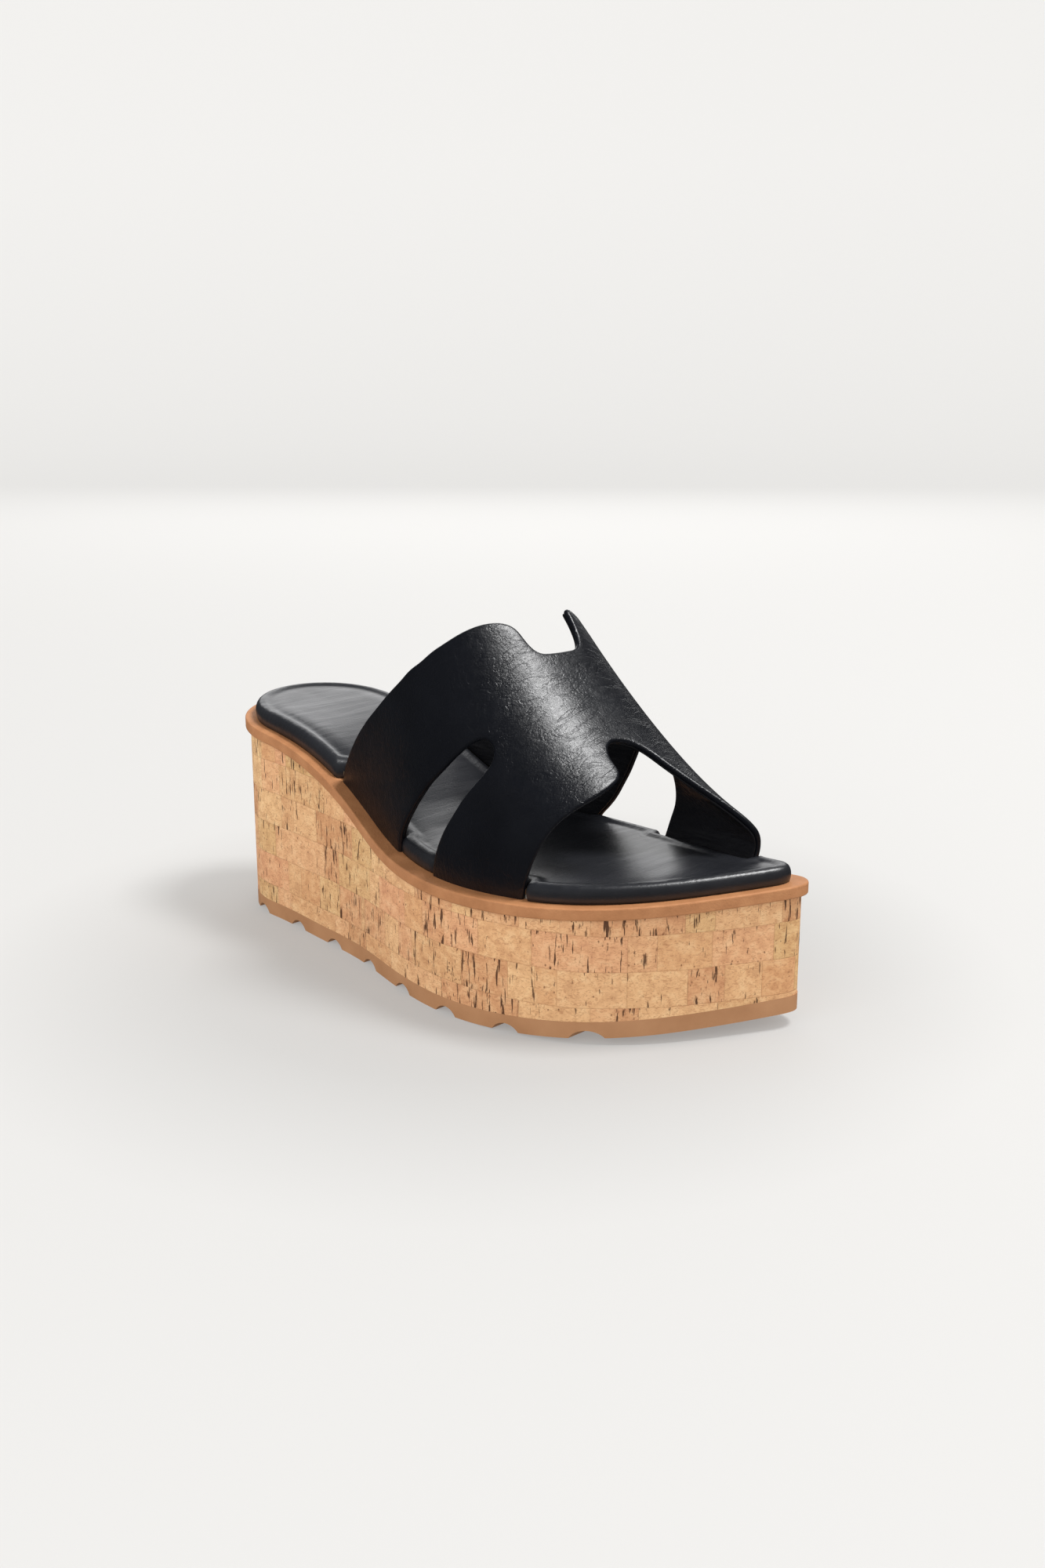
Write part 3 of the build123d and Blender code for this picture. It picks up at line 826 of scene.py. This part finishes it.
def footbed():
    """Padded sock over the footbed: a top, a bottom and a rounded side; the top is swelled as cloth."""
    reach, drop, round_steps = 2.3, 3.6, 5
    loop = footbed_outline()
    way = inward_of(relax_closed(loop.copy(), 4))
    edge = loop + way * reach
    fine = hexes(loop.min(0), loop.max(0), 1.25, 1.25)
    gap = gap_to(fine, loop)
    fine = fine[inside(fine, edge) & (gap > reach + 0.7) & (gap < 9)]
    coarse = hexes(loop.min(0), loop.max(0), 2.6, 2.6)
    coarse = coarse[inside(coarse, loop) & (gap_to(coarse, loop) > 9.6)]
    flat, faces, order = fill(edge, np.vstack([fine, coarse]))
    total = len(flat)
    gap = gap_to(flat, loop)
    verts = [over_wedge(flat, footbed_top(flat, gap)), over_wedge(flat, 5.2)]
    side = []
    for k in range(1, round_steps + 1):
        angle = math.pi / 2 * k / round_steps
        side.append((SOCK_SHOULDER - drop * (1 - math.cos(angle)), reach * (1 - math.sin(angle))))
    side += [(5.6, 0.15), (4.25, 0.45)]
    for level, spread in side:
        verts.append(over_wedge(loop + way * spread, level))
    verts = np.vstack(verts)
    made = closed_sheet(faces, total, order, len(side))
    piece = make("footbed_sock", verts, made, finish["footbed_leather"])
    hold = np.ones(len(verts))
    slack_rim = 0.6 * smooth_step(gap, 2.6, 3.4) * (1 - smooth_step(gap, 4.6, 5.6))
    hold[:total] = np.clip(1 - smooth_step(gap, 6.2, 7.6) - slack_rim, 0, 1)
    swell(piece, verts / 1000, hold)
    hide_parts("footbed_cover", "footbed_foam")


footbed()

# ---------------------------------------------------------------- floor, light and camera


def floor_paint():
    """Pale matt paint whose emission grows with the distance from the object; its low emission close to the
    object is painted shadow around it.
    """
    m = Shade("floor", colour=(0.29, 0.287, 0.282, 1), roughness=0.9, Specular_IOR_Level=0.0,
              Emission_Color=(1.0, 0.991, 0.972, 1))
    away = m.node("ShaderNodeVectorMath", {"operation": "LENGTH"}, i0=m.place()).outputs["Value"]
    away = m.math("DIVIDE", away, 4.0)
    # Emission is lowest close to the object: that dip is painted shadow around the object; farther out it
    # rises to keep the floor evenly bright.
    emission_with_painted_shadow = m.ramp(away, [(0.026, 0.28), (0.05, 0.42), (0.14, 0.45), (0.45, 0.56), (0.75, 0.66)])
    m.set(m.bsdf, "Emission Strength", emission_with_painted_shadow)
    return m.material


def floor():
    """Pale round floor that turns up into a backdrop far from the object."""
    flat_radius, bend, bend_steps, wall_height, around = 2.0, 1.2, 12, 5.0, 72
    profile = [(0.0, 0.0), (0.6, 0.0), (1.2, 0.0), (flat_radius, 0.0)]
    for k in range(1, bend_steps + 1):
        angle = math.pi / 2 * k / bend_steps
        profile.append((flat_radius + bend * math.sin(angle), bend * (1 - math.cos(angle))))
    profile.append((flat_radius + bend, wall_height))
    verts, faces = [], []
    for radius, up in profile:
        for k in range(around):
            angle = 2 * math.pi * k / around
            verts.append((radius * math.cos(angle), radius * math.sin(angle), up))
    for start in range(0, (len(profile) - 1) * around, around):
        for k in range(around):
            n = (k + 1) % around
            faces.append((start + k, start + n, start + around + n, start + around + k))
    mesh = bpy.data.meshes.new("floor")
    mesh.from_pydata(verts, [], faces)
    work = bmesh.new()
    work.from_mesh(mesh)
    bmesh.ops.remove_doubles(work, verts=work.verts, dist=1e-6)
    work.to_mesh(mesh)
    work.free()
    mesh.shade_smooth()
    piece = bpy.data.objects.new("floor", mesh)
    bpy.context.scene.collection.objects.link(piece)
    mesh.materials.append(floor_paint())
    piece.visible_glossy = False


def area(name, place, target, size, power, glossy=True):
    """A soft box aimed at the target; one that isn't glossy leaves no highlight."""
    light = bpy.data.lights.new(name, "AREA")
    light.shape = "RECTANGLE"
    light.size, light.size_y = size
    light.energy = power
    lamp = bpy.data.objects.new(name, light)
    lamp.visible_glossy = glossy
    lamp.visible_camera = False
    bpy.context.scene.collection.objects.link(lamp)
    lamp.location = place
    lamp.rotation_mode = "QUATERNION"
    lamp.rotation_quaternion = (Vector(target) - Vector(place)).to_track_quat("-Z", "Y")


def light_up():
    world = bpy.data.worlds.new("studio")
    bpy.context.scene.world = world
    world.use_nodes = True
    background = world.node_tree.nodes["Background"]
    background.inputs["Color"].default_value = (1.0, 0.995, 0.985, 1)
    background.inputs["Strength"].default_value = 0.055
    area("overhead", (0.53, 0.48, 1.48), (0.03, 0.0, 0.08), (0.46, 0.46), 23.0)
    area("front", (0.25, -1.45, 0.8), (0.0, 0.0, 0.03), (1.2, 0.9), 7.5, False)
    area("back", (-1.0, 1.0, 0.62), (0.0, 0.0, 0.08), (1.3, 0.7), 5.5)
    area("left", (-0.9, -0.9, 1.0), (0.0, 0.0, 0.03), (1.0, 0.8), 3.0, False)


def camera():
    data = bpy.data.cameras.new("camera")
    data.lens = 39.6
    data.sensor_width = 36
    data.sensor_fit = "AUTO"
    data.clip_start, data.clip_end = 0.05, 20
    made = bpy.data.objects.new("camera", data)
    bpy.context.scene.collection.objects.link(made)
    made.location = (0.4577, -0.4194, 0.2468)
    made.rotation_mode = "QUATERNION"
    made.rotation_quaternion = Vector((-0.69147, 0.66775, -0.27564)).to_track_quat("-Z", "Y")
    bpy.context.scene.camera = made


floor()
light_up()
camera()
bpy.context.scene.view_settings.view_transform = "Standard"
bpy.context.scene.view_settings.look = "None"
